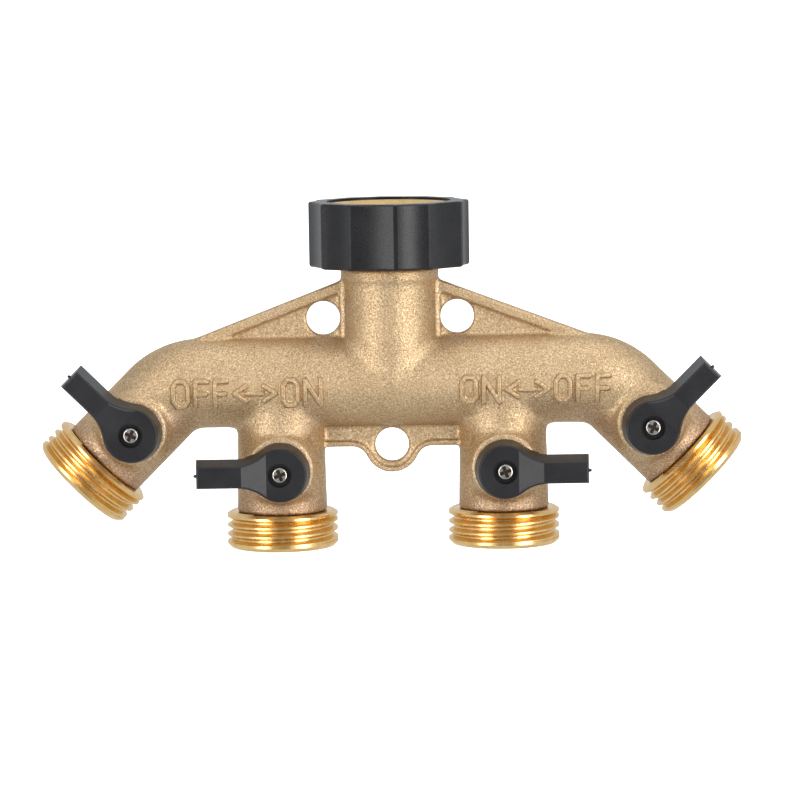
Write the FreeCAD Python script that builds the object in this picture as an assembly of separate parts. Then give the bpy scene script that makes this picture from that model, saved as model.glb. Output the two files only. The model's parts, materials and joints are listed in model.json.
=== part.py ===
import FreeCAD, Part
import math
import os
from FreeCAD import Matrix, Placement, Rotation, Vector

# Four-way hose splitter, millimetres.
# Frame: the origin is on the inlet axis at the start of the swivel nut's thread, +Z points
# out of the inlet, +X runs along the manifold and -Y is the side that carries the levers.

# Hose thread: garden hose thread, 1 1/16 inch, 11.5 turns per inch, right-handed
INCH = 25.4
thread_pitch = INCH / 11.5
male_crest_r = 1.0625 * INCH / 2
male_root_r = male_crest_r - 1.24
female_crest_r = 12.4
female_root_r = 13.75
thread_crest_flat = 0.45
land_flat = 0.55
flank_slope = math.tan(math.radians(30))
ridge_recess = 0.04
ridge_bite = 0.2

# Inlet tailpiece: a flanged tube pressed into the neck, which holds the nut on
tail_bore_r = 7.0
tail_shank_r = 9.0
tail_shank_length = 9.8
barrel_step = 0.92
barrel_clearance = 0.08
flange_overlap = 2.0
flange_thickness = 1.5
flange_gap = 0.3
flange_side_gap = 1.2
tail_ring_section_r = 0.8
tail_ring_depth = 4.5
nut_web_bore_r = tail_shank_r + barrel_step + barrel_clearance
flange_r = nut_web_bore_r + flange_overlap

# Inlet washer
washer_bore_r = 8.0
washer_thickness = 2.6
washer_gap = 0.4
washer_side_gap = 0.2

# Swivel nut, from its mouth down
nut_top_recess = 0.6
nut_mouth_chamfer = 1.0
nut_mouth_r = 14.3
nut_thread_depth = 6.3
nut_web_thickness = 2.65
nut_bottom_gap = 0.15
nut_wall = 2.4
nut_pocket_r = max(flange_r + flange_side_gap, female_crest_r + 0.8)
nut_outer_r = nut_pocket_r + nut_wall
nut_keys = 6
nut_key_width = 2.4
nut_key_height = 0.8

# Moulded grip
grip_wall = 3.8
grip_r = nut_outer_r + grip_wall
grip_flute_pairs = 6
narrow_flute = 26.0
wide_flute = 360 / grip_flute_pairs - narrow_flute
flute_depth = 0.5
grip_first_ridge = 4.8
ridge_land = 3.0
grip_top_edge = 0.5
grip_bottom_edge = 0.75
grip_neck_gap = 0.4
grip_lip_r = nut_mouth_r + 0.75

# Neck of the casting
neck_length = 27.5
neck_wall = 2.2
neck_r = tail_shank_r + neck_wall
collar_step = 0.65
collar_height = 2.7

# Stem
stem_r = 3.0
stem_clearance = 0.05
stem_flange_step = 0.9
stem_flange_r = stem_r + stem_flange_step

# Valve cavity, measured from the ball's centre
ball_r = 7.0
ball_port_r = 4.5
ball_slot_width = 3.1
ball_slot_depth = 2.0
chamber_clearance = 0.5
seat_ball_clearance = 0.05
seat_port_gap = 0.1
seat_contact = 0.74
seat_thickness = 2.7
seat_shoulder = 1.2
throat_r = 5.0
spigot_wall = 1.7
spigot_nose_gap = 0.2
spigot_stem_gap = 0.4
spigot_hold = 3.5
casting_wall = 1.75
seat_outer_r = ball_r + chamber_clearance
seat_bore_r = ball_port_r + seat_port_gap
seat_near = math.sqrt((ball_r + seat_ball_clearance) ** 2 - (seat_bore_r + seat_contact) ** 2)
seat_far = seat_near + seat_thickness
socket_r = seat_outer_r + spigot_wall
socket_step = max(seat_near - spigot_nose_gap, stem_flange_r + spigot_stem_gap)
hub_to_joint = seat_far + spigot_hold
branch_end_r = socket_r + casting_wall

# Manifold tube and its four branches
tube_bore_r = 8.4
tube_wall = 2.5
tube_r = tube_bore_r + tube_wall
branch_draft = 0.65
inner_branch_top_r = branch_end_r - branch_draft
inner_branch_x = 27.0
inner_shoulder = 4.9
inner_hub_drop = tube_bore_r + inner_shoulder + seat_far
outer_corner_x = 51.9
outer_angle = 45.0
outer_bend_r = 14.2
outer_bore_leg = 0.47
slant = math.radians(outer_angle)
outer_setback = outer_bend_r * math.tan(slant / 2)
outer_hub_run = outer_setback + outer_bore_leg + seat_shoulder + seat_far

# Stem heights, measured from the ball's centre towards the lever
stem_flange_thickness = 1.3
stem_flange_gap = 0.2
stem_ball_gap = 0.4
tang_side_gap = 0.1
tang_floor_gap = 0.3
tang_length = 7.0
stem_flat_depth = 0.8
stem_flange_low = ball_r + stem_ball_gap
stem_flange_high = stem_flange_low + stem_flange_thickness
stem_shoulder = stem_flange_high + stem_flange_gap

# O-rings of the stem
ring_section_r = 0.42
ring_groove_width = 1.0
ring_squeeze_gap = 0.02
ring_first_height = 0.9
ring_spacing = 1.4
ring_heights = [stem_shoulder + ring_first_height + ring_spacing * index for index in range(2)]

# Boss for the stem on each branch
boss_top_r = 7.75
boss_shift = 0.4
boss_spread = 2.3
boss_height = 3.7
boss_seal_length = 3.3
boss_top = stem_shoulder + boss_seal_length
boss_foot = boss_top - boss_height

# Lever, heights from the ball's centre
lever_boss_gap = 0.6
lever_hub_depth = 5.6
lever_arm_rise = 2.4
lever_hub_r = 7.25
lever_arm_half = 3.7
lever_length = 20.2
lever_blend_r = 10.0
lever_draft = 1.15
lever_ramp_start = 3.2
lever_ramp_end = 9.1
lever_arm_relief = 0.9
lever_rim_r = 0.5
lever_socket_depth = 2.7
lever_socket_gap = 0.1
lever_web_thickness = 1.3
lever_counterbore_r = 2.9
gate_nub_r = 0.6
gate_nub_length = 0.45
gate_nub_rise = 4.2
lever_base = boss_top + lever_boss_gap
lever_hub_top = lever_base + lever_hub_depth
lever_arm_top = lever_hub_top + lever_arm_rise
stem_top = lever_base + lever_socket_depth
lever_web_low = stem_top + lever_socket_gap
lever_web_high = lever_web_low + lever_web_thickness

# Stop post on the boss and the groove it runs in
stop_post_r = 0.8
stop_radius = 5.3
stop_post_height = 1.7
stop_groove_gap = 0.4
stop_groove_side_gap = 0.35
stop_sweep = 90.0
stop_end_gap = 3.5
stop_post_top = boss_top + stop_post_height
stop_groove_top = stop_post_top + stop_groove_gap

# Lever screw
screw_head_r = 1.9
screw_head_height = 1.2
screw_head_edge = 0.5
screw_shank_r = 1.0
screw_length = 6.0
screw_hole_gap = 0.1
screw_recess_width = 0.85
screw_recess_span = 2.8
screw_recess_depth = 0.85
screw_turn = 20.0

# Outlet fitting, lengths measured from its joint with the casting
fitting_length = 8.6
fitting_shoulder_r = 12.7
fitting_end_r = 12.6
fitting_top_chamfer = 0.45
fitting_end_chamfer = 0.9
fitting_bore_r = 8.6
fitting_throat_r = 5.0
fitting_throat_length = 1.6
fitting_cone_length = 3.0
fitting_start_angle = 123.0

# Mounting webs
web_half_thickness = 1.5
rim_half_thickness = 2.4
web_collar_gap = 0.1
web_end_x = 48.5
web_end_sink = 0.4
top_rim_width = 2.4
side_rim_width = 0.9
mount_hole_r = 4.1
upper_hole_tube_gap = 0.5
upper_hole_rim_gap = 0.05
lower_hole_tube_gap = 0.6
lower_web_depth = 5.0
lower_rim_width = 1.2
lug_wall = 2.6
lug_blend_r = 4.0

# Raised marks beside the levers
mark_raise = 0.45
mark_stroke = 1.15
mark_height = 7.1
mark_drop = 1.5
mark_first_x = 16.35
mark_gap = 0.7
LEFT_MARK = "OFF=ON"
RIGHT_MARK = "ON=OFF"

# Strokes of each mark in its own unit square: corner points of each line
GLYPHS = {
    "O": (4.6, [[(0, .2), (0, .8), (.25, 1), (.75, 1), (1, .8), (1, .2), (.75, 0), (.25, 0), (0, .2)]]),
    "N": (4.9, [[(0, 0), (0, 1), (1, 0), (1, 1)]]),
    "F": (4.0, [[(0, 0), (0, 1), (1, 1)], [(0, .5), (.85, .5)]]),
    "=": (11.0, [[(.28, .2), (0, .5), (.28, .8)], [(.72, .2), (1, .5), (.72, .8)], [(.31, .5), (.69, .5)]]),
}

# Heights in the frame, from the nut's mouth down to the manifold
grip_top_z = nut_top_recess + nut_mouth_chamfer
nut_top_z = nut_mouth_chamfer
thread_end_z = -nut_thread_depth
washer_top_z = thread_end_z - washer_gap
flange_top_z = washer_top_z - washer_thickness - flange_gap
nut_web_top_z = flange_top_z - flange_thickness - flange_gap
nut_bottom_z = nut_web_top_z - nut_web_thickness
grip_bottom_z = nut_bottom_z - nut_bottom_gap
neck_top_z = grip_bottom_z - grip_neck_gap
web_top_z = neck_top_z - collar_height - web_collar_gap
manifold_z = neck_top_z - neck_length
inner_hub_z = manifold_z - inner_hub_drop
outer_hub_x = outer_corner_x + outer_hub_run * math.cos(slant)
outer_hub_z = manifold_z - outer_hub_run * math.sin(slant)
web_end_z = manifold_z + tube_r - web_end_sink
upper_hole_x = neck_r + side_rim_width + upper_hole_rim_gap + mount_hole_r
upper_hole_z = manifold_z + tube_r + upper_hole_tube_gap + mount_hole_r
lug_r = mount_hole_r + lug_wall
lug_z = manifold_z - tube_r - lower_hole_tube_gap - mount_hole_r
lower_web_z = manifold_z - tube_r - lower_web_depth

X_AXIS = Vector(1, 0, 0)
Y_AXIS = Vector(0, 1, 0)
Z_AXIS = Vector(0, 0, 1)
ORIGIN = Vector(0, 0, 0)
FAR = 60.0
TOUCH = 1e-3


def cylinder(radius, start, end, centre=ORIGIN, axis=Z_AXIS):
    return Part.makeCylinder(radius, end - start, centre + axis * start, axis)


def turned(profile):
    """Solid of revolution about Z from (radius, height) points."""
    points = [Vector(r, 0, z) for r, z in profile]
    face = Part.Face(Part.makePolygon(points + points[:1]))
    return face.revolve(ORIGIN, Z_AXIS, 360)


def slab(points, half_thickness, middle=0.0):
    """Plate standing in the XZ plane, from its (x, z) outline."""
    outline = [Vector(x, middle - half_thickness, z) for x, z in points]
    face = Part.Face(Part.makePolygon(outline + outline[:1]))
    return face.extrude(Y_AXIS * (2 * half_thickness))


def towards_lever(shape):
    """Stand a shape built along +Z up along -Y, the stem direction."""
    return moved(shape, ORIGIN, Rotation(X_AXIS, 90))


def moved(shape, offset, rotation=Rotation()):
    copy = shape.copy()
    copy.transformShape(Placement(offset, rotation).toMatrix(), True)
    return copy


def mirrored(shape):
    return shape.mirror(ORIGIN, X_AXIS)


def edges_at_height(shape, height):
    return [edge for edge in shape.Edges if all(abs(v.Z - height) < TOUCH for v in edge.Vertexes)]


def helical_ridge(core_r, crest_r, start, end, angle):
    """Right-handed thread ridge from core_r to crest_r, inwards when crest_r is the smaller."""
    out = 1 if crest_r > core_r else -1
    crest_half = thread_crest_flat / 2
    foot_r = core_r - out * ridge_bite
    foot_half = crest_half + abs(crest_r - foot_r) * flank_slope
    corners = [
        Vector(foot_r, 0, start - foot_half),
        Vector(crest_r, 0, start - crest_half),
        Vector(crest_r, 0, start + crest_half),
        Vector(foot_r, 0, start + foot_half),
    ]
    profile = Part.makePolygon(corners + corners[:1])
    path = Part.Wire(Part.makeHelix(thread_pitch, end - start, core_r))
    path.translate(Z_AXIS * start)
    ridge = path.makePipeShell([profile], True, True)
    ridge.rotate(ORIGIN, Z_AXIS, angle)
    return ridge


# ---------------------------------------------------------------- swivel nut

def nut_key_ring(bottom):
    """Keys round the nut that stop it slipping in the grip, up to the thread's start."""
    root_r = nut_outer_r - nut_wall / 2
    keys = []
    for index in range(nut_keys):
        key = Part.makeBox(
            nut_outer_r + nut_key_height - root_r,
            nut_key_width,
            -bottom,
            Vector(root_r, -nut_key_width / 2, bottom),
        )
        key.rotate(ORIGIN, Z_AXIS, 360.0 * index / nut_keys)
        keys.append(key)
    return keys


def swivel_nut():
    flank = (female_root_r - female_crest_r) * flank_slope
    blank = turned([
        (nut_outer_r, nut_bottom_z),
        (nut_outer_r, nut_top_z),
        (nut_mouth_r, nut_top_z),
        (female_crest_r, 0),
        (female_crest_r, -land_flat),
        (female_root_r, -land_flat - flank),
        (female_root_r, thread_end_z + land_flat + flank),
        (female_crest_r, thread_end_z + land_flat),
        (female_crest_r, thread_end_z),
        (nut_pocket_r, thread_end_z),
        (nut_pocket_r, nut_web_top_z),
        (nut_web_bore_r, nut_web_top_z),
        (nut_web_bore_r, nut_bottom_z),
    ])
    ridge = helical_ridge(
        female_root_r,
        female_crest_r + ridge_recess,
        thread_end_z + land_flat / 2,
        -land_flat / 2,
        0,
    )
    ridge = ridge.cut(cylinder(nut_outer_r, thread_end_z - thread_pitch, thread_end_z))
    return blank.multiFuse([ridge] + nut_key_ring(nut_bottom_z))


def flute_cutter(ridge, width, low, high):
    half_width = math.radians((width - ridge_land) / 2)
    half_chord = grip_r * math.sin(half_width)
    flute_r = (half_chord ** 2 + flute_depth ** 2) / (2 * flute_depth)
    flute_centre = grip_r * math.cos(half_width) - flute_depth + flute_r
    angle = math.radians(ridge + width / 2)
    centre = Vector(flute_centre * math.cos(angle), flute_centre * math.sin(angle), 0)
    return cylinder(flute_r, low, high, centre)


def swivel_grip():
    low, high = grip_bottom_z, grip_top_z
    cutters = []
    for index in range(grip_flute_pairs):
        ridge = grip_first_ridge - 90 + index * (narrow_flute + wide_flute)
        cutters.append(flute_cutter(ridge, narrow_flute, low - 1, high + 1))
        cutters.append(flute_cutter(ridge + narrow_flute, wide_flute, low - 1, high + 1))
    sleeve = cylinder(grip_r, low, high).cut(cutters)
    sleeve = sleeve.makeFillet(grip_top_edge, edges_at_height(sleeve, high))
    sleeve = sleeve.makeFillet(grip_bottom_edge, edges_at_height(sleeve, low))
    hollow = [cylinder(nut_outer_r, low - 1, nut_top_z), cylinder(grip_lip_r, low - 1, high + 1)]
    return sleeve.cut(hollow + nut_key_ring(low - 1))


def inlet_washer():
    low = washer_top_z - washer_thickness
    ring = cylinder(nut_pocket_r - washer_side_gap, low, washer_top_z)
    return ring.cut(cylinder(washer_bore_r, low - 1, washer_top_z + 1))


# ---------------------------------------------------------------- inlet tailpiece

def inlet_tailpiece():
    barrel_r = nut_web_bore_r - barrel_clearance
    low = neck_top_z - tail_shank_length
    blank = turned([
        (tail_bore_r, low),
        (tail_shank_r, low),
        (tail_shank_r, neck_top_z),
        (barrel_r, neck_top_z),
        (barrel_r, flange_top_z - flange_thickness),
        (flange_r, flange_top_z - flange_thickness),
        (flange_r, flange_top_z),
        (tail_bore_r, flange_top_z),
    ])
    middle = neck_top_z - tail_ring_depth
    low, high = middle - tail_ring_section_r, middle + tail_ring_section_r
    groove = cylinder(tail_shank_r + 1, low, high).cut(cylinder(tail_shank_r - 2 * tail_ring_section_r, low, high))
    return blank.cut(groove)


def tailpiece_o_ring():
    centre = Vector(0, 0, neck_top_z - tail_ring_depth)
    return Part.makeTorus(tail_shank_r - tail_ring_section_r, tail_ring_section_r, centre)


# ---------------------------------------------------------------- casting

def manifold_run(radius, outer_length):
    """The bent manifold tube: straight middle, a bend each side and a slanted leg each side."""
    straight = outer_corner_x - outer_setback
    pieces = [cylinder(radius, -straight, straight, Vector(0, 0, manifold_z), X_AXIS)]
    bend_start = Vector(straight, 0, manifold_z)
    disc = Part.Face(Part.Wire(Part.makeCircle(radius, bend_start, X_AXIS)))
    bend_centre = bend_start - Z_AXIS * outer_bend_r
    bend = disc.revolve(bend_centre, Y_AXIS, outer_angle)
    corner = Vector(outer_corner_x, 0, manifold_z)
    leg = cylinder(radius, outer_setback, outer_length, corner, outer_direction())
    pieces += [bend, leg, mirrored(bend), mirrored(leg)]
    return pieces[0].multiFuse(pieces[1:])


def outer_direction():
    return Vector(math.cos(slant), 0, -math.sin(slant))


def inner_branch(side):
    joint_drop = inner_hub_drop + hub_to_joint
    return Part.makeCone(
        inner_branch_top_r,
        branch_end_r,
        joint_drop,
        Vector(side * inner_branch_x, 0, manifold_z),
        -Z_AXIS,
    )


def valve_places():
    """Name, ball centre, turn about Y from a downward branch, and side of each valve."""
    return [
        ("left_outer", Vector(-outer_hub_x, 0, outer_hub_z), 90 - outer_angle, -1),
        ("left_inner", Vector(-inner_branch_x, 0, inner_hub_z), 0, -1),
        ("right_inner", Vector(inner_branch_x, 0, inner_hub_z), 0, 1),
        ("right_outer", Vector(outer_hub_x, 0, outer_hub_z), outer_angle - 90, 1),
    ]


def at_valve(shape, place):
    """Move a shape built for a downward branch with its ball at the origin to its place."""
    _, centre, turn, _ = place
    return moved(shape, centre, Rotation(Y_AXIS, turn))


def stem_boss():
    """Cone-shaped swelling under the lever, a little upstream of the stem."""
    foot = Vector(0, boss_shift, boss_foot)
    return towards_lever(Part.makeCone(boss_top_r + boss_spread, boss_top_r, boss_height, foot))


def stop_post(side):
    """Post that ends the lever's travel, between the closed and open positions of its groove."""
    half = math.radians(stop_sweep / 2)
    centre = Vector(-side * stop_radius * math.cos(half), 0, -stop_radius * math.sin(half))
    return cylinder(stop_post_r, boss_top - 1, stop_post_top, centre, -Y_AXIS)


def valve_cavity():
    """Everything removed from the casting for one valve, branch pointing down."""
    down = -Z_AXIS
    throat = cylinder(throat_r, -(inner_hub_drop - tube_bore_r / 2), -seat_far, axis=down)
    chamber = cylinder(seat_outer_r, -seat_far, socket_step, axis=down)
    socket = cylinder(socket_r, socket_step, hub_to_joint + 1, axis=down)
    stem_bore = cylinder(stem_r + stem_clearance, 0, boss_top + 1, axis=-Y_AXIS)
    stem_pocket = cylinder(stem_flange_r + stem_flange_gap, 0, stem_shoulder, axis=-Y_AXIS)
    return throat.multiFuse([chamber, socket, stem_bore, stem_pocket])


def web_root_x():
    """Where the webs start, inside the neck's wall."""
    return (tail_shank_r + neck_r) / 2


def upper_web_outline(inset):
    """Triangle between neck and manifold on the right, its slope moved in by inset."""
    run = web_end_x - neck_r
    fall = web_top_z - web_end_z
    drop = inset * math.hypot(run, fall) / run
    root_z = web_top_z + fall * (neck_r - web_root_x()) / run
    return [
        (web_root_x(), root_z - drop),
        (web_end_x, web_end_z - drop),
        (web_end_x, manifold_z),
        (web_root_x(), manifold_z),
    ]


def upper_web():
    plate = slab(upper_web_outline(0), web_half_thickness)
    rim = slab(upper_web_outline(0), rim_half_thickness)
    rim = rim.cut(slab(upper_web_outline(top_rim_width), FAR))
    side_rim_top = web_top_z - side_rim_width
    side_rim = slab(
        [
            (web_root_x(), side_rim_top),
            (neck_r + side_rim_width, side_rim_top),
            (neck_r + side_rim_width, manifold_z),
            (web_root_x(), manifold_z),
        ],
        rim_half_thickness,
    )
    hole = cylinder(mount_hole_r, -FAR, FAR, Vector(upper_hole_x, 0, upper_hole_z), Y_AXIS)
    return plate.multiFuse([rim, side_rim]).cut(hole)


def lower_web_slab(half_thickness, inset):
    """Strip between the inner branches whose lower edge blends round a lug, moved in by inset."""
    flat_z = lower_web_z + inset
    radius = lug_r - inset
    blend = lug_blend_r + inset
    blend_z = flat_z - blend
    reach = math.sqrt((radius + blend) ** 2 - (lug_z - blend_z) ** 2)
    share = radius / (radius + blend)
    touch = (reach * share, lug_z + (blend_z - lug_z) * share)
    touch_angle = math.atan2(touch[1] - blend_z, touch[0] - reach)
    middle_angle = (touch_angle + math.pi / 2) / 2
    middle = (reach + blend * math.cos(middle_angle), blend_z + blend * math.sin(middle_angle))

    def at(x, z):
        return Vector(x, -half_thickness, z)

    def line(start, end):
        return Part.LineSegment(start, end).toShape()

    side = inner_branch_x
    edges = [
        line(at(-side, manifold_z), at(side, manifold_z)),
        line(at(side, manifold_z), at(side, flat_z)),
        line(at(side, flat_z), at(reach, flat_z)),
        Part.Arc(at(reach, flat_z), at(*middle), at(*touch)).toShape(),
        Part.Arc(at(*touch), at(0, lug_z - radius), at(-touch[0], touch[1])).toShape(),
        Part.Arc(at(-touch[0], touch[1]), at(-middle[0], middle[1]), at(-reach, flat_z)).toShape(),
        line(at(-reach, flat_z), at(-side, flat_z)),
        line(at(-side, flat_z), at(-side, manifold_z)),
    ]
    return Part.Face(Part.Wire(edges)).extrude(Y_AXIS * (2 * half_thickness))


def lower_web():
    plate = lower_web_slab(web_half_thickness, 0)
    rim = lower_web_slab(rim_half_thickness, 0).cut(lower_web_slab(FAR, lower_rim_width))
    hole = cylinder(mount_hole_r, -FAR, FAR, Vector(0, 0, lug_z), Y_AXIS)
    return plate.fuse(rim).cut(hole)


def mark_strokes(text, first_x):
    """Square-ended bars for every stroke of a mark, long enough in Y to pass the tube's front."""
    bars = []
    x = first_x
    low_z = manifold_z - mark_drop - mark_height / 2
    for letter in text:
        width, lines = GLYPHS[letter]
        inner_w = width - mark_stroke
        inner_h = mark_height - mark_stroke
        for line in lines:
            for (u0, v0), (u1, v1) in zip(line, line[1:]):
                start = Vector(x + mark_stroke / 2 + u0 * inner_w, 0, low_z + mark_stroke / 2 + v0 * inner_h)
                end = Vector(x + mark_stroke / 2 + u1 * inner_w, 0, low_z + mark_stroke / 2 + v1 * inner_h)
                bars.append(stroke_bar(start, end))
        x += width + mark_gap
    return bars


def stroke_bar(start, end):
    along = end - start
    length = along.Length + mark_stroke
    angle = math.degrees(math.atan2(along.z, along.x))
    depth = tube_r + 2
    bar = Part.makeBox(length, depth, mark_stroke, Vector(-mark_stroke / 2, -depth, -mark_stroke / 2))
    return moved(bar, start, Rotation(Y_AXIS, -angle))


def mark_width(text):
    return sum(GLYPHS[letter][0] for letter in text) + mark_gap * (len(text) - 1)


def raised_marks():
    bars = mark_strokes(LEFT_MARK, -mark_first_x - mark_width(LEFT_MARK))
    bars += mark_strokes(RIGHT_MARK, mark_first_x)
    marks = bars[0].multiFuse(bars[1:])
    return marks.common(manifold_run(tube_r + mark_raise, outer_hub_run))


def manifold_body():
    joint_run = outer_hub_run + hub_to_joint
    neck = [
        cylinder(neck_r + collar_step, neck_top_z - collar_height, neck_top_z),
        cylinder(neck_r, manifold_z, neck_top_z - collar_height),
    ]
    webs = [upper_web(), mirrored(upper_web()), lower_web()]
    branches = [inner_branch(-1), inner_branch(1)]
    bosses = [at_valve(stem_boss(), place) for place in valve_places()]
    outside = manifold_run(tube_r, joint_run).multiFuse(neck + webs + branches + bosses + [raised_marks()])
    posts = [at_valve(stop_post(place[3]), place) for place in valve_places()]
    outside = outside.multiFuse(posts)
    inside = [
        manifold_run(tube_bore_r, outer_hub_run - seat_far - seat_shoulder),
        cylinder(tail_bore_r, manifold_z, neck_top_z),
        cylinder(tail_shank_r, neck_top_z - tail_shank_length, neck_top_z + 1),
    ]
    inside += [at_valve(valve_cavity(), place) for place in valve_places()]
    return outside.cut(inside).removeSplitter()


# ---------------------------------------------------------------- outlet fitting

def outlet_fitting():
    """Threaded outlet, built hanging down from a ball centre at the origin."""
    joint = hub_to_joint
    top_land = joint + fitting_top_chamfer
    end = joint + fitting_length
    end_land = end - fitting_end_chamfer
    flank = (male_crest_r - male_root_r) * flank_slope
    throat_end = seat_far + fitting_throat_length
    blank = turned([
        (seat_outer_r, socket_step),
        (socket_r, socket_step),
        (socket_r, joint),
        (fitting_shoulder_r, joint),
        (male_crest_r, top_land),
        (male_crest_r, top_land + land_flat),
        (male_root_r, top_land + land_flat + flank),
        (male_root_r, end_land - land_flat - flank),
        (male_crest_r, end_land - land_flat),
        (male_crest_r, end_land),
        (fitting_end_r, end),
        (fitting_bore_r, end),
        (fitting_bore_r, throat_end + fitting_cone_length),
        (fitting_throat_r, throat_end),
        (fitting_throat_r, seat_far),
        (seat_outer_r, seat_far),
    ])
    ridge = helical_ridge(
        male_root_r,
        male_crest_r - ridge_recess,
        top_land + land_flat / 2,
        end_land - land_flat / 2,
        fitting_start_angle,
    )
    return moved(blank.fuse(ridge), ORIGIN, Rotation(X_AXIS, 180))


def seat_ring(direction):
    """Ball seat above (direction 1) or below (direction -1) the ball."""
    ring = cylinder(seat_outer_r, seat_near, seat_far, axis=Z_AXIS * direction)
    port = cylinder(seat_bore_r, 0, seat_far + 1, axis=Z_AXIS * direction)
    return ring.cut([port, Part.makeSphere(ball_r + seat_ball_clearance)])


# ---------------------------------------------------------------- valve, lever arm along +X

def ball():
    port = cylinder(ball_port_r, -ball_r - 1, ball_r + 1, axis=X_AXIS)
    slot = Part.makeBox(
        ball_slot_width,
        ball_slot_depth,
        2 * ball_r,
        Vector(-ball_slot_width / 2, -ball_r, -ball_r),
    )
    return Part.makeSphere(ball_r).cut([port, slot])


def stem():
    tang_width = ball_slot_width - 2 * tang_side_gap
    tang_low = ball_r - ball_slot_depth + tang_floor_gap
    tang = Part.makeBox(
        tang_width,
        tang_length,
        stem_flange_low - tang_low,
        Vector(-tang_width / 2, -tang_length / 2, tang_low),
    )
    body = [
        cylinder(stem_flange_r, stem_flange_low, stem_flange_high),
        cylinder(stem_r, stem_flange_low, boss_top),
        stem_drive(boss_top - 0.5, stem_top),
    ]
    grooves = []
    for height in ring_heights:
        outer = cylinder(stem_r + 1, height - ring_groove_width / 2, height + ring_groove_width / 2)
        grooves.append(outer.cut(cylinder(ring_groove_r(), height - 1, height + 1)))
    screw_hole = cylinder(screw_shank_r, lever_web_high - screw_length, stem_top + 1)
    return towards_lever(tang.multiFuse(body).cut(grooves + [screw_hole]))


def stem_drive(low, high):
    """Double-D end of the stem, flats facing along Y before it is stood up."""
    flat = stem_r - stem_flat_depth
    flats = Part.makeBox(4 * stem_r, 2 * flat, high - low, Vector(-2 * stem_r, -flat, low))
    return cylinder(stem_r, low, high).common(flats)


def ring_groove_r():
    return stem_r + stem_clearance - ring_squeeze_gap - 2 * ring_section_r


def stem_o_ring(height):
    centre_r = ring_groove_r() + ring_section_r
    return towards_lever(Part.makeTorus(centre_r, ring_section_r, Z_AXIS * height))


def lever_outline(inset, height):
    """Paddle outline: hub circle, hollow blends and a straight arm, moved in by inset."""
    hub = lever_hub_r - inset
    half = lever_arm_half - inset
    blend = lever_blend_r + inset
    tip = lever_length - inset / 3
    centre_x = math.sqrt((hub + blend) ** 2 - (half + blend) ** 2)
    touch_x = centre_x * hub / (hub + blend)
    touch_y = (half + blend) * hub / (hub + blend)
    mid_angle = (math.atan2(touch_y - half - blend, touch_x - centre_x) - math.pi / 2) / 2
    mid_x = centre_x + blend * math.cos(mid_angle)
    mid_y = half + blend + blend * math.sin(mid_angle)

    def point(x, y):
        return Vector(x, y, height)

    edges = [
        Part.LineSegment(point(tip, -half), point(tip, half)).toShape(),
        Part.LineSegment(point(tip, half), point(centre_x, half)).toShape(),
        Part.Arc(point(centre_x, half), point(mid_x, mid_y), point(touch_x, touch_y)).toShape(),
        Part.Arc(point(touch_x, touch_y), point(-hub, 0), point(touch_x, -touch_y)).toShape(),
        Part.Arc(point(touch_x, -touch_y), point(mid_x, -mid_y), point(centre_x, -half)).toShape(),
        Part.LineSegment(point(centre_x, -half), point(tip, -half)).toShape(),
    ]
    return Part.Wire(edges)


def lever_top_cut():
    """Space above the hub face, the ramp and the arm face."""
    far_left = -2 * lever_hub_r
    far_right = 2 * lever_length
    sky = lever_arm_top + 5
    return slab(
        [
            (far_left, lever_hub_top),
            (lever_ramp_start, lever_hub_top),
            (lever_ramp_end, lever_arm_top),
            (far_right, lever_arm_top),
            (far_right, sky),
            (far_left, sky),
        ],
        FAR,
    )


def stop_groove():
    """Arc groove under the hub, on the side away from the arm, that clears the stop post."""
    inner = stop_radius - stop_post_r - stop_groove_side_gap
    outer = stop_radius + stop_post_r + stop_groove_side_gap
    sweep = stop_sweep + 2 * (math.degrees(stop_post_r / stop_radius) + stop_end_gap)
    height = stop_groove_top - lever_base + 1
    ring = Part.makeCylinder(outer, height, Z_AXIS * (lever_base - 1), Z_AXIS, sweep)
    ring = ring.cut(cylinder(inner, lever_base - 2, stop_groove_top + 1))
    ring.rotate(ORIGIN, Z_AXIS, 180 - sweep / 2)
    return ring


def is_ramp_crease(edge):
    """The two edges straight across the lever where the ramp starts and ends."""
    places = [vertex.X for vertex in edge.Vertexes] + [edge.CenterOfMass.x]
    return any(all(abs(x - crease) < TOUCH for x in places) for crease in (lever_ramp_start, lever_ramp_end))


def lever_block():
    """The lever's outside: a drafted paddle with a low hub, a ramp and a raised arm, its rim rounded."""
    base = lever_outline(0, lever_base)
    face = lever_outline(lever_draft, lever_arm_top)
    block = Part.makeLoft([base, face], True, True).cut(lever_top_cut())
    top_edges = [edge for edge in block.Edges if all(v.Z > lever_hub_top - TOUCH for v in edge.Vertexes)]
    return block.makeFillet(lever_rim_r, [edge for edge in top_edges if not is_ramp_crease(edge)])


def lever():
    relief = Part.makeBox(
        2 * lever_length,
        4 * lever_arm_half,
        lever_arm_relief + 1,
        Vector(lever_hub_r + 1, -2 * lever_arm_half, lever_base - 1),
    )
    cuts = [
        relief,
        stop_groove(),
        stem_drive(lever_base - 1, lever_web_low),
        cylinder(screw_shank_r + screw_hole_gap, lever_base, lever_arm_top),
        cylinder(lever_counterbore_r, lever_web_high, lever_arm_top + 1),
    ]
    nub = Part.makeCone(
        gate_nub_r,
        gate_nub_r / 2,
        gate_nub_length + 1,
        Vector(lever_length - 1, 0, lever_base + gate_nub_rise),
        X_AXIS,
    )
    return towards_lever(lever_block().cut(cuts).fuse(nub))


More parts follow.
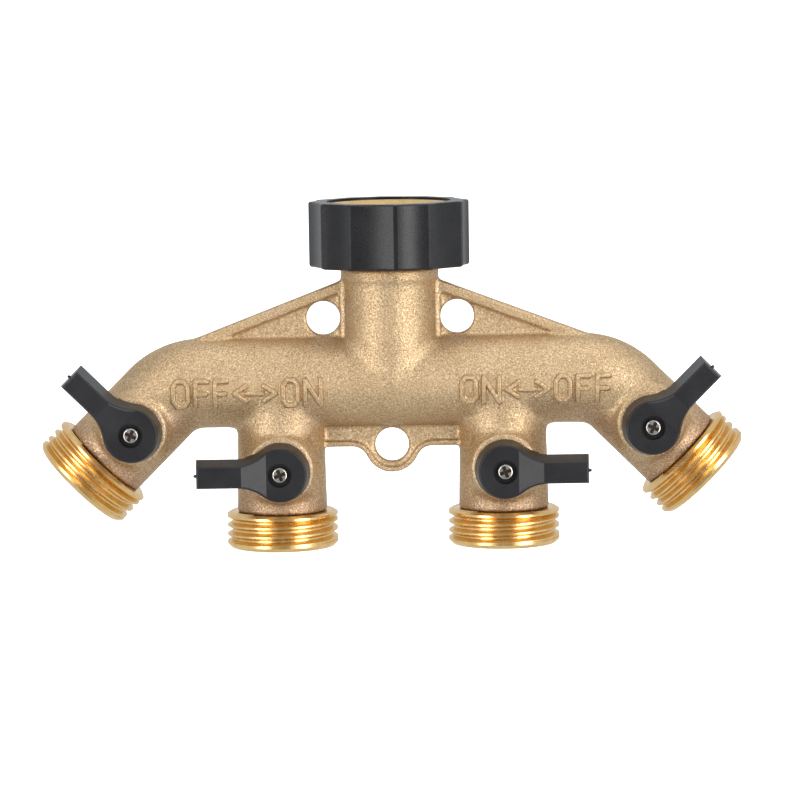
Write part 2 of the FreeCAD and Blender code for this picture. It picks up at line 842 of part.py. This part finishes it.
def lever_screw():
    head_top = lever_web_high + screw_head_height
    head = cylinder(screw_head_r, lever_web_high, head_top)
    head = head.makeFillet(screw_head_edge, edges_at_height(head, head_top))
    body = head.fuse(cylinder(screw_shank_r, lever_web_high - screw_length, head_top - screw_head_edge))
    low = head_top - screw_recess_depth
    bars = []
    for angle in (screw_turn, screw_turn + 90):
        bar = Part.makeBox(
            screw_recess_span,
            screw_recess_width,
            screw_recess_depth + 1,
            Vector(-screw_recess_span / 2, -screw_recess_width / 2, low),
        )
        bar.rotate(ORIGIN, Z_AXIS, angle)
        bars.append(bar)
    return towards_lever(body.cut(bars))


# ---------------------------------------------------------------- assembly

def valve_nodes(place, fitting):
    """All the pieces of one valve, each in its place."""
    name, centre, turn, side = place
    arm_turn = turn + (180 if side < 0 else 0)
    turning = {
        "ball": ball(),
        "stem": stem(),
        "stem_o_ring_inner": stem_o_ring(ring_heights[0]),
        "stem_o_ring_outer": stem_o_ring(ring_heights[1]),
        "lever": lever(),
        "lever_screw": lever_screw(),
    }
    fixed = {
        "outlet_fitting": fitting,
        "seat_upstream": seat_ring(1),
        "seat_downstream": seat_ring(-1),
    }
    nodes = {}
    for key, shape in turning.items():
        nodes[f"{name}_{key}"] = moved(shape, centre, Rotation(Y_AXIS, arm_turn))
    for key, shape in fixed.items():
        nodes[f"{name}_{key}"] = at_valve(shape, place)
    return nodes


def all_nodes():
    nodes = {
        "manifold_body": manifold_body(),
        "inlet_tailpiece": inlet_tailpiece(),
        "tailpiece_o_ring": tailpiece_o_ring(),
        "swivel_nut": swivel_nut(),
        "swivel_grip": swivel_grip(),
        "inlet_washer": inlet_washer(),
    }
    fitting = outlet_fitting()
    for place in valve_places():
        nodes.update(valve_nodes(place, fitting))
    return nodes


def main():
    os.makedirs("parts", exist_ok=True)
    for name, shape in all_nodes().items():
        if not shape.isValid():
            raise RuntimeError(f"{name} is not a valid solid")
        shape.exportStep(os.path.join("parts", f"{name}.step"))


main()
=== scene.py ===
"""Looks of the four-way hose splitter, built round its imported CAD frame. Lengths are in metres."""

import json
import math

import bmesh
import bpy
import numpy as np
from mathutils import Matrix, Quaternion, Vector, noise


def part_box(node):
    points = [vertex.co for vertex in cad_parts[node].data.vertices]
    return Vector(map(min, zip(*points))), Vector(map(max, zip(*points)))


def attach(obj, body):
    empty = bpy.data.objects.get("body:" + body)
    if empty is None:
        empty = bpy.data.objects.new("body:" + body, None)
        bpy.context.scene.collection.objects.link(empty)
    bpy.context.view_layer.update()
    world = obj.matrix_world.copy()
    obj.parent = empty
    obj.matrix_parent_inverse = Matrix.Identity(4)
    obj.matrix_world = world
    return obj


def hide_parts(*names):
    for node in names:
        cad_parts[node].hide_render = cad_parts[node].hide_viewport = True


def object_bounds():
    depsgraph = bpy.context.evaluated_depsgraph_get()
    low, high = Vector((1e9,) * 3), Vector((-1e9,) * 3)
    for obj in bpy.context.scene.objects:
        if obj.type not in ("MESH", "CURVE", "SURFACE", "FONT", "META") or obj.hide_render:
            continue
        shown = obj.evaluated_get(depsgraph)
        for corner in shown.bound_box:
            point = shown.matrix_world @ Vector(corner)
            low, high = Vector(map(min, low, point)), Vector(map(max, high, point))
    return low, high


MM = 0.001

# Casting, as the CAD source sizes it
TUBE_R = 10.9 * MM
BRANCH_TOP_R = 10.3 * MM
BRANCH_DRAFT = 0.65 / 31.4
BEND_R = 14.2 * MM
BEND_START = 46.02 * MM
NECK_R = 11.2 * MM
BORE_LIMIT = 9.7 * MM
JOINT_TINT_START = 3.0 * MM
JOINT_TINT_FULL = 10.5 * MM

# Remeshing and softening of the casting
VOXEL = 0.4 * MM
CREASE_ROUNDS = 36
EDGE_ROUNDS = 4
SPREAD_ROUNDS = 14
MERGE_GAP = 0.001 * MM
CREASE_BLEND = 1.6 * MM
WEB_FADE = (3.0 * MM, 5.0 * MM)
LOWER_WEB_X = 17 * MM
WEB_SOFTENING = 0.06
BOSS_FADE = (10.5 * MM, 9.0 * MM)
BOSS_HOLD = 0.5
SWELL_HEIGHT = 0.03 * MM
SWELL_WAVE = 3.5 * MM
PIT_HEIGHT = 0.015 * MM
PIT_WAVE = 0.9 * MM

# Raised marks on the front of the manifold
MARK_RAISE = 0.8 * MM
MARK_CORE = 0.32 * MM
MARK_FOOT = 0.78 * MM
MARK_STROKE = 1.15 * MM
MARK_HEIGHT = 7.1 * MM
MARK_DROP = 1.5 * MM
MARK_FIRST_X = 16.35 * MM
MARK_GAP = 0.7 * MM
MARK_MARGIN = 1.6 * MM
LEFT_MARK = "OFF=ON"
RIGHT_MARK = "ON=OFF"
GLYPHS = {
    "O": (4.6, [[(0, .2), (0, .8), (.25, 1), (.75, 1), (1, .8), (1, .2), (.75, 0), (.25, 0), (0, .2)]]),
    "N": (4.9, [[(0, 0), (0, 1), (1, 0), (1, 1)]]),
    "F": (4.0, [[(0, 0), (0, 1), (1, 1)], [(0, .5), (.85, .5)]]),
    "=": (11.0, [[(.28, .2), (0, .5), (.28, .8)], [(.72, .2), (1, .5), (.72, .8)], [(.31, .5), (.69, .5)]]),
}

# Depths below a screw's head over which the painted shade of its recess deepens
SCREW_SHADE_FROM = 0.45 * MM
SCREW_SHADE_TO = 0.80 * MM

# Hidden rubber and plastics: name, darkest and lightest colour, roughness, size of the mottle
PLAIN_MATERIALS = [
    ("black_rubber", (0.018, 0.018, 0.018), (0.028, 0.028, 0.028), 0.55, 1.2 * MM),
    ("seat_plastic", (0.78, 0.77, 0.73), (0.86, 0.85, 0.82), 0.40, 2.0 * MM),
    ("ball_plastic", (0.74, 0.73, 0.70), (0.82, 0.81, 0.79), 0.22, 3.0 * MM),
]

# Camera
CAMERA_DISTANCE = 0.9
CAMERA_LENS = 166.5
CAMERA_PITCH = math.radians(6.4)
CAMERA_ROLL = math.radians(-0.9)
CAMERA_AIM = Vector((2.05, 0, -47.0)) * MM

# Lights: name, place, width, height, radiance. The world is darker in front, where its strength falls with Y.
LIGHT_AIM = (0, 0, -0.045)
SOFTBOXES = [
    ("left_softbox", (-0.70, -0.80, 0.0), 0.42, 1.3, 4.6),
    ("right_softbox", (0.72, -0.78, 0.05), 0.46, 1.3, 5.6),
    ("top_softbox", (0.15, -0.15, 0.95), 1.2, 0.9, 1.2),
]
WORLD_RAMP = (-0.95, -0.45, 0.36, 0.80)
WORLD_COLOUR = (0.96, 0.98, 1.0, 1)
FLOOR_SIZE = 150.0

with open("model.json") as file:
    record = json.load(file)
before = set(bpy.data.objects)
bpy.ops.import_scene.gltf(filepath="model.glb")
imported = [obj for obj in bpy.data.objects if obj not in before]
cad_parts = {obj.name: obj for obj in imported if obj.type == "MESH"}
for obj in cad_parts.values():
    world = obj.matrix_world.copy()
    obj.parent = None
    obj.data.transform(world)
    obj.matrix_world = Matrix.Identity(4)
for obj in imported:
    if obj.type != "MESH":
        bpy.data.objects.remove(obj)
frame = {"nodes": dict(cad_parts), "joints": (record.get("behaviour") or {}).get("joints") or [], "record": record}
cad_low, cad_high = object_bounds()
record = frame["record"]
VALVES = ["left_outer", "left_inner", "right_inner", "right_outer"]


def joint_place(name):
    return Vector(next(j["pos_m"] for j in frame["joints"] if j["name"] == name))


AXIS_Z = -42.1 * MM
BRANCH_X = joint_place("right_inner_lever_turn").x


# ---------------------------------------------------------------- node helpers

class Nodes:
    """A material's node tree, with short calls for the nodes used here."""

    def __init__(self, name):
        self.material = bpy.data.materials.new(name)
        self.material.use_nodes = True
        self.tree = self.material.node_tree
        self.shader = self.tree.nodes["Principled BSDF"]
        coords = self.tree.nodes.new("ShaderNodeTexCoord")
        self.place = coords.outputs["Object"]

    def link(self, source, target):
        self.tree.links.new(source, target)

    def set(self, **values):
        for name, value in values.items():
            self.shader.inputs[name.replace("_", " ")].default_value = value

    def noise(self, wave, detail=2.0, roughness=0.5, place=None):
        node = self.tree.nodes.new("ShaderNodeTexNoise")
        node.inputs["Scale"].default_value = 1 / wave
        node.inputs["Detail"].default_value = detail
        node.inputs["Roughness"].default_value = roughness
        self.link(place or self.place, node.inputs["Vector"])
        return node.outputs["Fac"]

    def cells(self, wave, place=None):
        node = self.tree.nodes.new("ShaderNodeTexVoronoi")
        node.inputs["Scale"].default_value = 1 / wave
        self.link(place or self.place, node.inputs["Vector"])
        return node.outputs["Distance"]

    def math(self, operation, a, b=0.0, clamp=False):
        node = self.tree.nodes.new("ShaderNodeMath")
        node.operation = operation
        node.use_clamp = clamp
        for socket, value in zip(node.inputs, (a, b)):
            if isinstance(value, (int, float)):
                socket.default_value = value
            else:
                self.link(value, socket)
        return node.outputs[0]

    def ramp(self, value, low, high, to_low=0.0, to_high=1.0, smooth=True):
        node = self.tree.nodes.new("ShaderNodeMapRange")
        node.interpolation_type = "SMOOTHSTEP" if smooth else "LINEAR"
        for name, number in (("From Min", low), ("From Max", high), ("To Min", to_low), ("To Max", to_high)):
            node.inputs[name].default_value = number
        self.link(value, node.inputs["Value"])
        return node.outputs["Result"]

    def blend(self, factor, first, second):
        node = self.tree.nodes.new("ShaderNodeMix")
        node.data_type = "RGBA"
        self.link(factor, node.inputs["Factor"])
        for socket, value in zip((node.inputs[6], node.inputs[7]), (first, second)):
            if isinstance(value, tuple):
                socket.default_value = (*value, 1)
            else:
                self.link(value, socket)
        return node.outputs[2]

    def bump(self, height, distance, strength=1.0, normal=None):
        node = self.tree.nodes.new("ShaderNodeBump")
        node.inputs["Distance"].default_value = distance
        node.inputs["Strength"].default_value = strength
        self.link(height, node.inputs["Height"])
        if normal is not None:
            self.link(normal, node.inputs["Normal"])
        return node.outputs["Normal"]

    def attribute(self, name):
        """A value the mesh carries at its vertices."""
        node = self.tree.nodes.new("ShaderNodeAttribute")
        node.attribute_name = name
        return node.outputs["Fac"]

    def along(self, axis, origin):
        """Coordinates for turned work: distance along the axis and distance from it."""
        offset = self.tree.nodes.new("ShaderNodeVectorMath")
        offset.operation = "SUBTRACT"
        self.link(self.place, offset.inputs[0])
        offset.inputs[1].default_value = origin
        dot = self.tree.nodes.new("ShaderNodeVectorMath")
        dot.operation = "DOT_PRODUCT"
        self.link(offset.outputs[0], dot.inputs[0])
        dot.inputs[1].default_value = axis
        cross = self.tree.nodes.new("ShaderNodeVectorMath")
        cross.operation = "CROSS_PRODUCT"
        self.link(offset.outputs[0], cross.inputs[0])
        cross.inputs[1].default_value = axis
        far = self.tree.nodes.new("ShaderNodeVectorMath")
        far.operation = "LENGTH"
        self.link(cross.outputs[0], far.inputs[0])
        pack = self.tree.nodes.new("ShaderNodeCombineXYZ")
        self.link(dot.outputs["Value"], pack.inputs[0])
        self.link(far.outputs["Value"], pack.inputs[1])
        return pack.outputs[0]


# ---------------------------------------------------------------- materials

def cast_brass():
    """Sand-cast brass: a fine raised grain with painted glints on its pale peaks, soft blotches, and a redder tint
    towards the joints.
    """
    n = Nodes("cast_brass")
    grain = n.noise(0.34 * MM, 2, 0.55)
    pits = n.cells(0.62 * MM)
    blotch = n.noise(9 * MM, 3, 0.55)
    tint = n.noise(16 * MM, 2, 0.5)
    light = n.blend(n.ramp(blotch, 0.3, 0.7), (0.50, 0.357, 0.203), (0.545, 0.398, 0.237))
    worn = n.blend(n.ramp(tint, 0.56, 0.72, 0, 0.4), light, (0.465, 0.325, 0.225))
    warm = n.blend(n.math("MULTIPLY", n.attribute("near_joint"), 0.55), worn, (0.40, 0.25, 0.18))
    dark = n.blend(n.ramp(grain, 0.36, 0.50, 0.58, 0), warm, (0.24, 0.145, 0.07))
    # painted glints: the pale peaks of the grain stand in for sparkles of light on the cast surface
    colour = n.blend(n.ramp(grain, 0.54, 0.66, 0, 0.55), dark, (0.86, 0.70, 0.48))
    n.link(colour, n.shader.inputs["Base Color"])
    n.link(n.ramp(grain, 0.3, 0.7, 0.60, 0.48), n.shader.inputs["Roughness"])
    height = n.math("ADD", grain, n.math("MULTIPLY", n.ramp(pits, 0.0, 0.55), 0.5))
    n.link(n.bump(height, 0.12 * MM, 0.8), n.shader.inputs["Normal"])
    n.set(Metallic=1.0)
    return n.material


def machined_brass(name, axis, origin):
    """Turned brass: bright, with fine tool lines round its axis."""
    n = Nodes(name)
    turned = n.along(axis, origin)
    lines = n.noise(0.09 * MM, 2, 0.6, turned)
    bands = n.noise(1.6 * MM, 2, 0.5, turned)
    smear = n.noise(2.4 * MM, 3, 0.6)
    colour = n.blend(n.ramp(smear, 0.35, 0.7), (0.76, 0.505, 0.20), (0.84, 0.585, 0.27))
    n.link(n.blend(n.ramp(lines, 0.3, 0.5, 0.35, 0), colour, (0.55, 0.33, 0.105)), n.shader.inputs["Base Color"])
    rough = n.math("ADD", n.ramp(bands, 0.3, 0.7, 0.20, 0.30), n.ramp(smear, 0.5, 0.8, 0.0, 0.10))
    n.link(rough, n.shader.inputs["Roughness"])
    n.link(n.bump(lines, 0.0015 * MM, 0.6), n.shader.inputs["Normal"])
    n.set(Metallic=1.0)
    return n.material


def black_plastic(name, dark, light, rough_low, rough_high):
    """Moulded glass-filled nylon: charcoal, fine sparkling grain."""
    n = Nodes(name)
    grain = n.noise(0.28 * MM, 3, 0.6)
    cloud = n.noise(7 * MM, 2, 0.5)
    colour = n.blend(n.ramp(cloud, 0.3, 0.7), dark, light)
    speck = n.blend(n.ramp(grain, 0.60, 0.74, 0, 0.35), colour, (0.03, 0.03, 0.032))
    n.link(speck, n.shader.inputs["Base Color"])
    n.link(n.ramp(grain, 0.3, 0.7, rough_low, rough_high), n.shader.inputs["Roughness"])
    n.link(n.bump(grain, 0.03 * MM, 0.6), n.shader.inputs["Normal"])
    n.set(Specular_IOR_Level=0.3)
    return n.material


def screw_steel():
    """Nickel-plated steel with small dull patches, and painted shade, dark and brownish, down in the recess."""
    n = Nodes("screw_steel")
    patch = n.noise(0.7 * MM, 3, 0.6)
    fine = n.noise(0.12 * MM, 2, 0.5)
    plated = n.blend(n.ramp(patch, 0.35, 0.7), (0.42, 0.38, 0.34), (0.62, 0.58, 0.54))
    split = n.tree.nodes.new("ShaderNodeSeparateXYZ")
    n.link(n.place, split.inputs[0])
    top = min(low.y for low in (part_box(name + "_lever_screw")[0] for name in VALVES))
    # painted shade: the plated metal turns dark brown with depth in the recess
    recess_shade = n.ramp(split.outputs["Y"], top + SCREW_SHADE_FROM, top + SCREW_SHADE_TO, 0, 0.9)
    n.link(n.blend(recess_shade, plated, (0.055, 0.035, 0.025)), n.shader.inputs["Base Color"])
    n.link(n.ramp(patch, 0.3, 0.7, 0.36, 0.22), n.shader.inputs["Roughness"])
    n.link(n.bump(fine, 0.01 * MM, 0.6), n.shader.inputs["Normal"])
    n.set(Metallic=1.0)
    return n.material


def smooth_plain(name, low, high, roughness, wave):
    """Rubber and white plastics of the inside: a faint mottle and a fine grain."""
    n = Nodes(name)
    mottle = n.noise(wave, 3, 0.55)
    n.link(n.blend(n.ramp(mottle, 0.3, 0.7), low, high), n.shader.inputs["Base Color"])
    n.link(n.ramp(mottle, 0.3, 0.7, roughness, roughness + 0.12), n.shader.inputs["Roughness"])
    n.link(n.bump(mottle, 0.02 * MM, 0.4), n.shader.inputs["Normal"])
    return n.material


def paint(obj, material):
    obj.data.materials.clear()
    obj.data.materials.append(material)


# ---------------------------------------------------------------- casting

def tube_offset(x, z):
    """Distance in the XZ plane from the manifold's centre line, above it positive."""
    past = np.abs(x) - BEND_START
    straight = z - AXIS_Z
    bent = np.hypot(past, z - AXIS_Z + BEND_R) - BEND_R
    return np.where(past > 0, bent, straight)


def front_gap(p):
    """Distance outside the smooth union of the manifold tube and the inner branches."""
    x, y, z = p.T
    tube = np.hypot(tube_offset(x, z), y) - TUBE_R
    drop = np.maximum(AXIS_Z - z, 0)
    branch = np.hypot(np.abs(x) - BRANCH_X, y) - (BRANCH_TOP_R + BRANCH_DRAFT * drop)
    branch = np.where(z < AXIS_Z, branch, np.hypot(branch + BRANCH_TOP_R, z - AXIS_Z) - BRANCH_TOP_R)
    share = np.maximum(CREASE_BLEND - np.abs(tube - branch), 0) / CREASE_BLEND
    return np.minimum(tube, branch) - share ** 2 * CREASE_BLEND / 4


def slopes(p, gap):
    """Unit gradient of a distance function at points p."""
    step = 0.02 * MM
    rows = [(gap(p + step * unit) - gap(p - step * unit)) for unit in np.eye(3)]
    out = np.stack(rows, 1)
    return out / np.maximum(np.linalg.norm(out, axis=1, keepdims=True), 1e-12)


def mark_width(text):
    return (sum(GLYPHS[c][0] for c in text) * MM) + MARK_GAP * (len(text) - 1)


def mark_strokes():
    """Segments of every stroke, as (x1, z1, x2, z2) rows."""
    rows = []
    for text, start in ((LEFT_MARK, -MARK_FIRST_X - mark_width(LEFT_MARK)), (RIGHT_MARK, MARK_FIRST_X)):
        for letter in text:
            width, lines = GLYPHS[letter]
            wide, tall = width * MM - MARK_STROKE, MARK_HEIGHT - MARK_STROKE
            left, low = start + MARK_STROKE / 2, AXIS_Z - MARK_DROP - tall / 2
            for line in lines:
                points = [(left + px * wide, low + pz * tall) for px, pz in line]
                rows += [(*a, *b) for a, b in zip(points, points[1:])]
            start += width * MM + MARK_GAP
    return np.array(rows)


def stroke_distance(p):
    """Distance in the XZ plane from each point to the nearest stroke."""
    best = np.full(len(p), 1.0)
    flat = p[:, [0, 2]]
    for x1, z1, x2, z2 in mark_strokes():
        a, d = np.array([x1, z1]), np.array([x2 - x1, z2 - z1])
        t = np.clip(((flat - a) @ d) / (d @ d), 0, 1)
        best = np.minimum(best, np.linalg.norm(flat - a - t[:, None] * d, axis=1))
    return best


def smoothstep(value, low, high):
    t = np.clip((value - low) / (high - low), 0, 1)
    return t * t * (3 - 2 * t)


def mark_zone(p, margin):
    """1 inside the strip of the front face that carries the marks, fading to 0 over margin."""
    strokes = mark_strokes()
    ax = np.abs(p[:, 0])
    low, high = MARK_FIRST_X - MARK_MARGIN, np.abs(strokes[:, [0, 2]]).max() + MARK_MARGIN
    bottom, top = strokes[:, [1, 3]].min() - MARK_MARGIN, strokes[:, [1, 3]].max() + MARK_MARGIN
    inside = np.minimum.reduce([ax - low, high - ax, p[:, 2] - bottom, top - p[:, 2]])
    front = np.where(p[:, 1] < -0.5 * TUBE_R, 1.0, 0.0)
    return smoothstep(inside, -margin, 0) * front


def positions(mesh):
    out = np.empty(len(mesh.vertices) * 3, np.float64)
    mesh.vertices.foreach_get("co", out)
    return out.reshape(-1, 3)


def normals(mesh):
    mesh.update()
    out = np.empty(len(mesh.vertices) * 3, np.float64)
    mesh.vertices.foreach_get("normal", out)
    return out.reshape(-1, 3)


def put(mesh, p):
    mesh.vertices.foreach_set("co", p.astype(np.float32).ravel())
    mesh.update()


def edge_ends(mesh):
    """Both vertices of every edge, and how many edges meet at each vertex."""
    ends = np.empty(len(mesh.edges) * 2, np.int64)
    mesh.edges.foreach_get("vertices", ends)
    return ends.reshape(-1, 2), np.bincount(ends, minlength=len(mesh.vertices)).astype(float)


def neighbour_mean(p, ends, count):
    total = np.stack([
        np.bincount(ends[:, 0], p[ends[:, 1], k], len(p)) + np.bincount(ends[:, 1], p[ends[:, 0], k], len(p))
        for k in range(3)
    ], 1)
    return total / count[:, None]


def outer_mask(p):
    """1 on the outside of the casting, 0 in its bores and valve chambers."""
    x, y, z = p.T
    leg = np.hypot(tube_offset(x, z), y)
    direction = np.array([math.sqrt(0.5), -math.sqrt(0.5)])
    corner = np.array([BEND_START + BEND_R * math.tan(math.pi / 8), AXIS_Z])
    rel = np.stack([np.abs(x), z], 1) - corner
    along = rel @ direction
    across = np.hypot(rel[:, 0] * direction[1] - rel[:, 1] * direction[0], y)
    slanted = np.where(along > 0, across, 1.0)
    branch = np.where(z < AXIS_Z, np.hypot(np.abs(x) - BRANCH_X, y), 1.0)
    neck = np.where(z > AXIS_Z, np.hypot(x, y), 1.0)
    tube = np.where(np.abs(x) < corner[0], leg, 1.0)
    nearest = np.minimum.reduce([slanted, branch, neck, tube])
    return np.where(nearest > BORE_LIMIT, 1.0, 0.0)


def soften(mesh):
    """Fills the sharp creases of the CAD shape with fillets, then takes the bite off its edges."""
    p = positions(mesh)
    ends, count = edge_ends(mesh)
    mask = outer_mask(p) * (1 - mark_zone(p, 0.6 * MM))
    off_web = smoothstep(np.abs(p[:, 1]), *WEB_FADE)
    near_web = (p[:, 2] > AXIS_Z + 0.9 * TUBE_R) | ((np.abs(p[:, 0]) < LOWER_WEB_X) & (p[:, 2] < AXIS_Z))
    weight = mask * np.where(near_web, WEB_SOFTENING + (1 - WEB_SOFTENING) * off_web, 1.0)
    for name in VALVES:
        hub = np.array(joint_place(name + "_lever_turn"))
        reach = np.hypot(p[:, 0] - hub[0], p[:, 2] - hub[2])
        boss = smoothstep(reach, *BOSS_FADE) * (p[:, 1] < 0)
        weight = weight * (1 - BOSS_HOLD * boss)
    for turn in range(CREASE_ROUNDS):
        if turn % 6 == 0:
            n = normals(mesh)
        out = ((neighbour_mean(p, ends, count) - p) * n).sum(1)
        p = p + n * (np.maximum(out, 0) * weight * 0.7)[:, None]
        if turn % 6 == 5:
            put(mesh, p)
    for _ in range(EDGE_ROUNDS):
        p = p + (neighbour_mean(p, ends, count) - p) * (0.5 * mask)[:, None]
    put(mesh, p)


def face_the_marks(mesh):
    """Takes the CAD marks off the front face and raises soft ones in the same places."""
    p = positions(mesh)
    zone = mark_zone(p, 0.6 * MM)
    ends, count = edge_ends(mesh)
    near = np.flatnonzero(zone > 0)
    for _ in range(SPREAD_ROUNDS):
        even = p + (neighbour_mean(p, ends, count) - p) * zone[:, None]
        p[near] = even[near]
        p[near] -= slopes(p[near], front_gap) * (front_gap(p[near]) * zone[near])[:, None]
    rise = MARK_RAISE * (1 - smoothstep(stroke_distance(p[near]), MARK_CORE, MARK_FOOT))
    p[near] += slopes(p[near], front_gap) * rise[:, None]
    put(mesh, p)


def roughen(mesh):
    """The slight swell and the small pits of sand-cast metal."""
    p, n = positions(mesh), normals(mesh)
    mask = outer_mask(p)
    for i in np.flatnonzero(mask > 0):
        v = Vector(p[i])
        swell = noise.noise(v / SWELL_WAVE) * SWELL_HEIGHT
        pit = noise.noise(v / PIT_WAVE) * PIT_HEIGHT
        p[i] += n[i] * (swell + pit)
    put(mesh, p)


def refine_marks(obj):
    """Cuts the faces under the marks finer."""
    bm = bmesh.new()
    bm.from_mesh(obj.data)
    places = np.array([v.co for v in bm.verts])
    inside = mark_zone(places, 0.3 * MM) > 0.5
    bm.verts.ensure_lookup_table()
    edges = [e for e in bm.edges if inside[e.verts[0].index] and inside[e.verts[1].index]]
    bmesh.ops.subdivide_edges(bm, edges=edges, cuts=2, use_grid_fill=True)
    bm.to_mesh(obj.data)
    bm.free()


def casting():
    """The cast body: the CAD solid with fillets, soft edges, a cast surface and soft raised marks."""
    source = frame["nodes"]["manifold_body"]
    obj = bpy.data.objects.new("casting", source.data.copy())
    bpy.context.scene.collection.objects.link(obj)
    weld = obj.modifiers.new("weld", "WELD")
    weld.merge_threshold = MERGE_GAP
    remesh = obj.modifiers.new("remesh", "REMESH")
    remesh.mode = "VOXEL"
    remesh.voxel_size = VOXEL
    bake_modifiers(obj)
    refine_marks(obj)
    face_the_marks(obj.data)
    soften(obj.data)
    roughen(obj.data)
    tint_joints(obj.data)
    obj.data.shade_smooth()
    return obj


def tint_joints(mesh):
    """Marks how near each vertex is to the end of its branch, for the colour of the metal there."""
    p = positions(mesh)
    near = np.zeros(len(p))
    for name in VALVES:
        hub = np.array(joint_place(name + "_lever_turn"))
        side = math.copysign(math.sqrt(0.5), hub[0]) if name.endswith("outer") else 0.0
        down = -math.sqrt(0.5) if side else -1.0
        along = (p[:, 0] - hub[0]) * side + (p[:, 2] - hub[2]) * down
        across = np.hypot((p[:, 0] - hub[0]) * down - (p[:, 2] - hub[2]) * side, p[:, 1])
        inside = across < 1.4 * NECK_R
        near = np.maximum(near, smoothstep(along, JOINT_TINT_START, JOINT_TINT_FULL) * inside)
    mesh.attributes.new("near_joint", "FLOAT", "POINT").data.foreach_set("value", near.astype(np.float32))


def bake_modifiers(obj):
    graph = bpy.context.evaluated_depsgraph_get()
    mesh = bpy.data.meshes.new_from_object(obj.evaluated_get(graph))
    obj.modifiers.clear()
    obj.data = mesh


# ---------------------------------------------------------------- stage

def make_floor():
    mesh = bpy.data.meshes.new("floor")
    size, z = FLOOR_SIZE, cad_low.z
    corners = [(-size, -size, z), (size, -size, z), (size, 3 * size, z), (-size, 3 * size, z)]
    mesh.from_pydata(corners, [], [(0, 1, 2, 3)])
    obj = bpy.data.objects.new("floor", mesh)
    bpy.context.scene.collection.objects.link(obj)
    n = Nodes("floor")
    n.set(Base_Color=(0.93, 0.93, 0.93, 1), Roughness=0.9, Specular_IOR_Level=0.0,
          Emission_Color=(1, 1, 1, 1), Emission_Strength=0.8)
    paint(obj, n.material)
    obj.visible_glossy = False
    obj.visible_shadow = False


def softbox(name, place, aim, width, height, radiance):
    data = bpy.data.lights.new(name, "AREA")
    data.shape = "RECTANGLE"
    data.size, data.size_y = width, height
    data.energy = radiance * math.pi * width * height
    obj = bpy.data.objects.new(name, data)
    bpy.context.scene.collection.objects.link(obj)
    obj.location = place
    obj.rotation_mode = "QUATERNION"
    obj.rotation_quaternion = (Vector(aim) - Vector(place)).to_track_quat("-Z", "Y")
    return obj


def make_lights():
    for name, place, width, height, radiance in SOFTBOXES:
        softbox(name, place, LIGHT_AIM, width, height, radiance)
    world = bpy.data.worlds.new("studio")
    world.use_nodes = True
    tree = world.node_tree
    coords = tree.nodes.new("ShaderNodeTexCoord")
    split = tree.nodes.new("ShaderNodeSeparateXYZ")
    tree.links.new(coords.outputs["Generated"], split.inputs[0])
    strength = tree.nodes.new("ShaderNodeMapRange")
    strength.interpolation_type = "SMOOTHSTEP"
    for name, number in zip(("From Min", "From Max", "To Min", "To Max"), WORLD_RAMP):
        strength.inputs[name].default_value = number
    tree.links.new(split.outputs["Y"], strength.inputs["Value"])
    background = tree.nodes["Background"]
    background.inputs["Color"].default_value = WORLD_COLOUR
    tree.links.new(strength.outputs["Result"], background.inputs["Strength"])
    bpy.context.scene.world = world


def make_camera():
    data = bpy.data.cameras.new("camera")
    data.lens = CAMERA_LENS
    data.sensor_width = 36
    obj = bpy.data.objects.new("camera", data)
    bpy.context.scene.collection.objects.link(obj)
    forward = Vector((0, math.cos(CAMERA_PITCH), -math.sin(CAMERA_PITCH)))
    obj.location = CAMERA_AIM - forward * CAMERA_DISTANCE
    obj.rotation_mode = "QUATERNION"
    obj.rotation_quaternion = forward.to_track_quat("-Z", "Y") @ Quaternion((0, 0, 1), CAMERA_ROLL)
    bpy.context.scene.camera = obj


# ---------------------------------------------------------------- assembly

def paint_nodes():
    slant = math.sqrt(0.5)
    flow = {"left_outer": (-slant, 0, -slant), "right_outer": (slant, 0, -slant)}
    brass = {"inlet": machined_brass("machined_brass_inlet", (0, 0, 1), (0, 0, 0))}
    for name in VALVES:
        axis = flow.get(name, (0, 0, -1))
        brass[name] = machined_brass("machined_brass_" + name, axis, joint_place(name + "_lever_turn"))
    lever = black_plastic("lever_plastic", (0.008, 0.008, 0.009), (0.012, 0.012, 0.013), 0.28, 0.42)
    # painted shade: the grip gets a darker copy of the lever plastic, standing in for less light falling on the
    # grip
    grip = black_plastic("grip_plastic_shaded", (0.005, 0.005, 0.0055), (0.008, 0.008, 0.009), 0.24, 0.36)
    others = {
        "screw_steel": screw_steel(),
    }
    for name, low, high, roughness, wave in PLAIN_MATERIALS:
        others[name] = smooth_plain(name, low, high, roughness, wave)
    for part in record["subparts"]:
        node, slot = part["node"], part["material_slot"]
        obj = frame["nodes"][node]
        if slot == "machined_brass":
            valve = next((v for v in VALVES if node.startswith(v)), "inlet")
            paint(obj, brass[valve])
        elif slot == "black_plastic":
            paint(obj, grip if node == "swivel_grip" else lever)
        elif slot in others:
            paint(obj, others[slot])


def main():
    paint_nodes()
    body = casting()
    paint(body, cast_brass())
    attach(body, "splitter")
    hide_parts("manifold_body")
    make_floor()
    make_lights()
    make_camera()
    bpy.context.scene.view_settings.view_transform = "Standard"


main()
